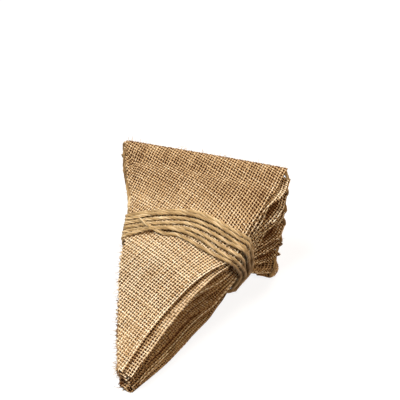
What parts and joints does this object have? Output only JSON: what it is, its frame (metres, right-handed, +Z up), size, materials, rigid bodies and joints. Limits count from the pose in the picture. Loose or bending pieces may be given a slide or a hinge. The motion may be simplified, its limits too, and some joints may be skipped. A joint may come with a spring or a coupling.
{
  "type": "fabric bunting",
  "caption": "Bunting of natural burlap pennants with cased tops on jute twine, stacked into a pile and tied round the waist with the twine.",
  "frame": {"origin": "middle of the underside's bounding box, on the surface the pile lies on", "axes": "+Z up, the pennants' tips toward -Y and their cased ends toward +Y, +X to the side where the lowest pennant's corner shows"},
  "size_m": [0.1482, 0.1732, 0.1118],
  "materials": {
    "burlap": "open plain weave, matte",
    "jute_twine": "twisted, hairy, matte"
  },
  "bodies": {
    "root": {"pennant_01": "burlap", "pennant_02": "burlap", "pennant_03": "burlap", "pennant_04": "burlap", "pennant_05": "burlap", "pennant_06": "burlap", "pennant_07": "burlap", "pennant_08": "burlap", "pennant_09": "burlap", "pennant_10": "burlap", "pennant_11": "burlap", "pennant_12": "burlap", "pennant_13": "burlap", "pennant_14": "burlap", "string_twine": "jute_twine", "tie_twine": "jute_twine"}
  },
  "joints": []
}
